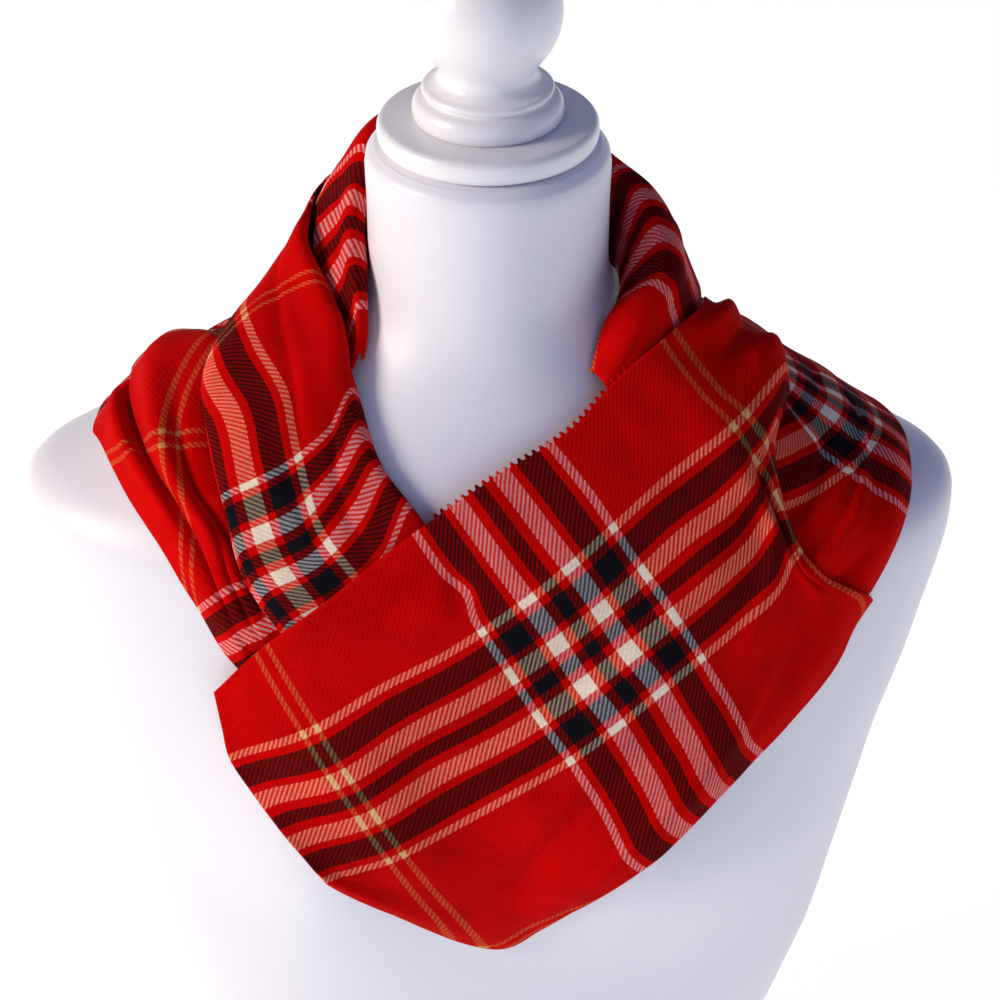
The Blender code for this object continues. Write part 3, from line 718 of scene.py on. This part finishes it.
# The collar round the neck: place along it, turn, then (reach from the neck's axis, height) in mm
collar = {
    "across": (0, 45, 90, 100, 130, 180),
    "rows": [
        (0, 41, [(68, 494), (70, 495), (73, 494), (75, 493), (80, 489), (85, 486)]),
        (20, 55, [(61, 507), (65, 513), (73, 516), (76, 515), (81, 508), (86, 499)]),
        (45, 74, [(58, 508), (67, 521), (81, 531), (84, 529), (88, 518), (92, 503)]),
        (75, 90, [(58, 509), (65, 530), (74, 543), (78, 541), (86, 525), (94, 504)]),
        (105, 107, [(58, 510), (62, 534), (69, 549), (73, 548), (82, 530), (95, 500)]),
        (140, 125, [(59, 512), (60, 538), (64, 552), (68, 552), (78, 534), (94, 492)]),
        (185, 150, [(61, 512), (60, 544), (63, 562), (67, 562), (76, 536), (89, 482)]),
        (240, 180, [(62, 512), (60, 548), (63, 570), (67, 570), (76, 540), (86, 475)]),
        (295, 210, [(61, 512), (60, 548), (63, 573), (67, 573), (78, 541), (91, 481)]),
        (335, 232, [(59, 512), (58, 545), (60, 567), (64, 569), (81, 546), (104, 489)]),
        (355, 242, [(58, 511), (57, 541), (58, 560), (61, 563), (75, 550), (90, 526)]),
        (370, 250, [(58, 511), (56, 533), (56, 550), (59, 553), (70, 545), (81, 533)]),
        (388, 262, [(58, 511), (56, 528), (56, 543), (59, 546), (67, 537), (78, 524)]),
        (404, 274, [(58, 510), (56, 522), (56, 535), (59, 537), (66, 528), (74, 517)]),
        (422, 286, [(59, 510), (57, 518), (57, 526), (60, 528), (65, 520), (69, 510)]),
        (440, 296, [(60, 508), (60, 512), (60, 517), (62, 518), (65, 511), (68, 503)]),
        (458, 303, [(63, 502), (63, 505), (64, 509), (66, 509), (68, 503), (72, 496)]),
        (470, 308, [(69, 495), (69, 497), (70, 499), (72, 499), (73, 497), (75, 493)]),
    ],
    "coarse": (44, 15), "fine": (176, 66), "seed": 7.7,
    "crest": 90,          # the fold along its top, as a place across it
    "strapFrom": 350,     # from this place along it the strap lies over it, before it the panel
    "threads": "lengths", "alongScale": 1.0, "skew": 0, "threadStart": (-80, -120),
    "folds": [
        (60, 110, 200, 150, 6, 1.3, 6), (150, 170, 300, 110, 7, -1.4, -5), (220, 105, 330, 160, 6, 1.5, 4),
        (90, 170, 180, 165, 7, 1.3, 0), (270, 60, 380, 20, 6, -1.0, 3), (60, 20, 170, 60, 6, -1.0, -4),
    ],
}
collarGrid, collarU, collarV = laidCloth(roundNeck(collar["rows"]), collar, [overForm, overOuter])
crest = int(np.searchsorted(collarV, collar["crest"]))
strapFrom = int(np.searchsorted(collarU, collar["strapFrom"]))
collarFlat = threadPlaces(collarGrid, collarU, collarV, collar)
neckCollar = newCloth("neckCollar", collarGrid, collarFlat, cashmereLook, ["neck_collar"])
print("collar laid")

# The strap from behind the neck down over the left collarbone.
# Its first rows are like the collar's, the others like the outer stretch's.
strap = {
    "across": (0, 12, 60, 110, 150, 165),
    "backRows": [
        (0, -136, [(69, 532), (72, 535), (77, 523), (84, 509), (91, 495), (94, 489)]),
        (25, -114, [(77, 525), (79, 528), (86, 518), (95, 504), (105, 489), (108, 483)]),
        (50, -96, [(80, 527), (82, 531), (91, 521), (101, 506), (112, 490), (116, 482)]),
    ],
    "rows": [
        (75, [(-69, 76, 12), (-69, 75, 17), (-71, 89, 24), (-67.5, 102, 27),
              (-63.5, 115, 22), (-67, 115, 13)]),
        (115, [(-55.5, 83, 8), (-55.5, 81, 13), (-50.5, 95, 20), (-48, 109, 23),
               (-52, 123, 20), (-54.5, 123, 10)]),
        (160, [(-36, 98, 4), (-37.5, 97, 8), (-32, 111, 14), (-33.5, 126, 18),
               (-39, 139, 17), (-39.5, 141, 8)]),
        (205, [(-20, 117, 3.5), (-21, 116, 7), (-21.5, 130, 11), (-23, 149, 13),
               (-27.5, 161, 12), (-28, 164, 6)]),
        (255, [(-10.5, 135, 3.5), (-11, 133, 6), (-12, 153, 8), (-15.5, 168, 9),
               (-21, 181, 9), (-22, 186, 5)]),
        (285, [(-3.5, 156, 4), (-4, 154, 5), (-7.5, 169, 5), (-11, 185, 5),
               (-16.5, 196, 5), (-17.5, 199, 4)]),
    ],
    "coarse": (26, 15), "fine": (118, 58), "seed": 5.3,
    "threads": "lengths", "alongScale": 1.2, "skew": 0, "threadStart": (-245, -80),
    "folds": [
        (40, 60, 170, 90, 7, -1.5, 6), (90, 130, 230, 110, 6, 1.4, -4), (150, 50, 270, 70, 7, -1.2, 5),
    ],
}
strapPoints = np.concatenate([roundNeck(strap["backRows"]), onForm(strap["rows"])])
strapAlong = [row[0] for row in strap["backRows"] + strap["rows"]]
strapGrid, strapU, strapV = laidCloth(strapPoints, strap, [
    overForm, overOuter, (treeOf(collarGrid[strapFrom:, crest:]), cloth["layerClear"])], strapAlong)
strapFlat = threadPlaces(strapGrid, strapU, strapV, strap)
leftStrap = newCloth("leftStrap", strapGrid, strapFlat, cashmereLook, ["left_strap"])
print("strap laid")

# The wide panel over the chest, its neck edge first
panel = {
    "across": (0, 30, 60, 95, 130, 170, 208, 222),
    "rows": [
        (-150, [(-33, 215, 7), (-32.5, 231, 7), (-32, 244, 7), (-29, 257, 7),
                (-25.5, 270, 7), (-22.5, 282, 6), (-20, 293, 5), (-19.5, 298, 1.5)]),
        (-115, [(-23, 185, 10), (-20, 208, 9), (-16.5, 231, 9), (-13, 255, 8),
                (-9.5, 278, 7), (-5, 305, 7), (0, 338, 6), (1, 351, 1.5)]),
        (-92, [(-17, 168, 11), (-12.5, 189, 10), (-9.5, 213, 9), (-5.5, 241, 8),
               (-1.5, 270, 7), (2, 296, 7), (5, 324, 6), (6, 335, 1.5)]),
        (-60, [(-12.5, 151, 12), (-6, 174, 10), (-2.5, 197, 9), (1, 225, 8),
               (5, 250, 8), (8.5, 276, 7), (10.5, 301, 6), (11.5, 312, 1.5)]),
        (0, [(1.5, 120, 10), (8, 141, 9), (11.5, 162, 9), (15, 179, 9),
             (19.5, 199, 8), (23.5, 226, 7), (26.5, 254, 6), (28.5, 262, 1.5)]),
        (45, [(19.5, 104, 9), (22.5, 122, 9), (24.5, 141, 9), (25, 160, 9),
              (27, 178, 8), (31.5, 202, 7), (36.5, 229, 6), (39.5, 239, 1.5)]),
        (80, [(37.5, 93, 12), (36, 111, 12), (35.5, 130, 11), (33.5, 149, 9),
              (33, 163, 8), (36.5, 183, 7), (43.5, 207, 6), (47, 217, 1.5)]),
        (115, [(53.5, 90, 20), (50, 106, 20), (48, 121, 17), (44, 134, 12),
               (38.5, 151, 9), (38, 169, 8), (45.5, 190, 6), (49, 200, 1.5)]),
        (145, [(77, 93, 26), (80, 104, 22), (73, 115, 18), (51.5, 126, 13),
               (41.5, 148, 9), (38.5, 166, 8), (48.5, 184, 5), (51, 192, 1.5)]),
        (170, [(91.5, 95, 17), (92, 105, 13), (81, 116, 9), (53, 127, 8),
               (42.5, 147, 6), (40, 165, 5), (50, 184, 3), (52, 189, 1.5)]),
    ],
    "coarse": (30, 21), "fine": (150, 104), "seed": 1.9,
    "threads": "flattened", "threadStart": (0, -98),
    "folds": [
        (-140, 60, 20, 40, 14, 2.2, 8), (-120, 190, 20, 150, 13, -2.6, -8), (-60, 120, 110, 70, 14, 2.4, 6),
        (10, 210, 120, 150, 11, -2.8, 5), (60, 20, 150, 60, 10, 2.4, 5), (-100, 20, -10, 10, 8, -1.4, 3),
        (-70, 215, 40, 190, 9, 2.2, -4), (30, 165, 118, 118, 9, 2.4, -5),
        # the tuck beside the shoulder fold
        (113, 55, 136, 182, 5, -4.6, 3), (100, 70, 122, 190, 7, 2.6, 3),
        # the waved edge of the shoulder fold
        (126, 12, 171, 16, 6, 5.0, 0), (126, 28, 171, 30, 4, -3.0, 0), (126, 42, 171, 46, 6, 4.6, 0),
        (130, 60, 171, 66, 5, -2.2, 0),
    ],
}
panelGrid, panelU, panelV = laidCloth(onForm(panel["rows"]), panel, [
    overForm, overOuter, (treeOf(collarGrid[:strapFrom, crest:]), cloth["layerClear"]),
    (treeOf(strapGrid), cloth["layerClear"])])
panelFlat = threadPlaces(panelGrid, panelU, panelV, panel)
frontPanel = newCloth("frontPanel", panelGrid, panelFlat, cashmereLook, ["front_panel"])
print("front panel laid")

# Teeth along the panel's cut neck edge
teeth = {
    "from": -35, "to": 92,                # along the panel, in mm
    "pitch": 0.0036, "depth": 0.0019, "root": 0.0012, "wall": 0.0012,
    "corners": (0.06, 0.94, 0.66, 0.42),  # of one tooth: root start, root end, tip end, tip start
}


def readAlong(at, run, values):
    return np.array([np.interp(at, run, values[:, c]) for c in range(values.shape[1])])


def edgeTeeth():
    keep = (panelU > teeth["from"]) & (panelU < teeth["to"])
    line = panelGrid[keep][:, 0]
    inward = panelGrid[keep][:, 2] - line
    normal = outward(panelGrid)[keep][:, 0]
    flatLine = panelFlat[keep][:, 0]
    run = np.concatenate([[0], np.cumsum(np.linalg.norm(np.diff(line, axis=0), axis=1))])
    outs = (-teeth["root"], -teeth["root"], teeth["depth"], teeth["depth"])
    points, faces, places = [], [], []
    for k in range(int(run[-1] / teeth["pitch"])):
        first = len(points)
        for share, out in zip(teeth["corners"], outs):
            at = k * teeth["pitch"] + teeth["pitch"] * share
            into = readAlong(at, run, inward)
            spot = readAlong(at, run, line) - into / np.linalg.norm(into) * out
            up = readAlong(at, run, normal)
            flat = readAlong(at, run, flatLine)
            for side in (0.5, -0.5):
                points.append(spot + up * teeth["wall"] * side)
                places.append((flat[0], flat[1] - out))
        faces += [(first, first + 2, first + 4, first + 6), (first + 7, first + 5, first + 3, first + 1)]
        for m in range(4):
            here, there = first + 2 * m, first + 2 * ((m + 1) % 4)
            faces.append((here, here + 1, there + 1, there))
    made = newPiece("selvedgeTeeth", points, faces, cashmereLook, [])
    layer = made.data.uv_layers.new(name="threads")
    for loop in made.data.loops:
        layer.data[loop.index].uv = places[loop.vertex_index]
    return made


selvedgeTeeth = edgeTeeth()
print("teeth cut")


def areaOf(grid):
    one = np.cross(grid[1:, :-1] - grid[:-1, :-1], grid[:-1, 1:] - grid[:-1, :-1])
    two = np.cross(grid[1:, 1:] - grid[:-1, 1:], grid[1:, 1:] - grid[1:, :-1])
    return float((np.linalg.norm(one, axis=-1) + np.linalg.norm(two, axis=-1)).sum() / 2)


# The area each sheet covers, printed; a sheet's flat size is the cut of what shows
grids = {"outer": outerGrid, "collar": collarGrid, "strap": strapGrid, "panel": panelGrid}
for name, grid in grids.items():
    print(name, "covers", round(areaOf(grid), 4), "square metres")

# Floor, light and camera. The camera stands where the photograph was taken from.
studio = {
    "floor": 30.0,            # half of its side
    "floorColour": (0.30, 0.30, 0.30), "floorRough": 0.9, "floorGlow": 0.93,
    "keyAt": (-1.6, -0.5, 1.15), "keySize": 0.7, "keyPower": 27, "keyColour": (1.0, 0.89, 0.78),
    "fillAt": (0.5, -1.7, 0.9), "fillSize": 1.2, "fillPower": 4.0, "fillColour": (0.40, 0.50, 1.0),
    "aim": (0, 0, 0.42),      # both lights look here
    "sky": (0.50, 0.58, 1.0), "skyStrength": 0.25,
    "cameraAt": (0.005148, -1.183776, 1.154098), "cameraTilt": 57.36, "lens": 109.09, "sensor": 36,
}
half = studio["floor"]
floorMesh = bpy.data.meshes.new("floor")
floorMesh.from_pydata([(-half, -half, 0), (half, -half, 0), (half, half, 0), (-half, half, 0)],
                      [], [(0, 1, 2, 3)])
floor = bpy.data.objects.new("floor", floorMesh)
bpy.context.scene.collection.objects.link(floor)
floorLook, floorTree, floorShader = newLook("paleFloor", studio["floorColour"])
setInputs(floorTree, floorShader, {
    "Base Color": (*studio["floorColour"], 1), "Roughness": studio["floorRough"], "Specular IOR Level": 0.0,
    "Emission Color": (1, 1, 1, 1), "Emission Strength": studio["floorGlow"]})
floorMesh.materials.append(floorLook)


def softLight(name):
    # name is key or fill, as in the studio's values
    at = Vector(studio[name + "At"])
    lamp = bpy.data.lights.new(name + "Light", "AREA")
    lamp.shape = "DISK"
    lamp.size = studio[name + "Size"]
    lamp.energy = studio[name + "Power"]
    lamp.color = studio[name + "Colour"]
    made = bpy.data.objects.new(name + "Light", lamp)
    made.location = at
    made.rotation_euler = (Vector(studio["aim"]) - at).to_track_quat("-Z", "Y").to_euler()
    bpy.context.scene.collection.objects.link(made)


softLight("key")
softLight("fill")
world = bpy.data.worlds.new("studioSky")
bpy.context.scene.world = world
world.use_nodes = True
sky = world.node_tree.nodes["Background"]
sky.inputs["Color"].default_value = (*studio["sky"], 1)
sky.inputs["Strength"].default_value = studio["skyStrength"]
bpy.context.scene.view_settings.view_transform = "Standard"

cameraData = bpy.data.cameras.new("camera")
cameraData.lens = studio["lens"]
cameraData.sensor_width = studio["sensor"]
camera = bpy.data.objects.new("camera", cameraData)
camera.location = studio["cameraAt"]
camera.rotation_euler = (math.radians(studio["cameraTilt"]), 0, 0)
bpy.context.scene.collection.objects.link(camera)
bpy.context.scene.camera = camera
print("studio set")
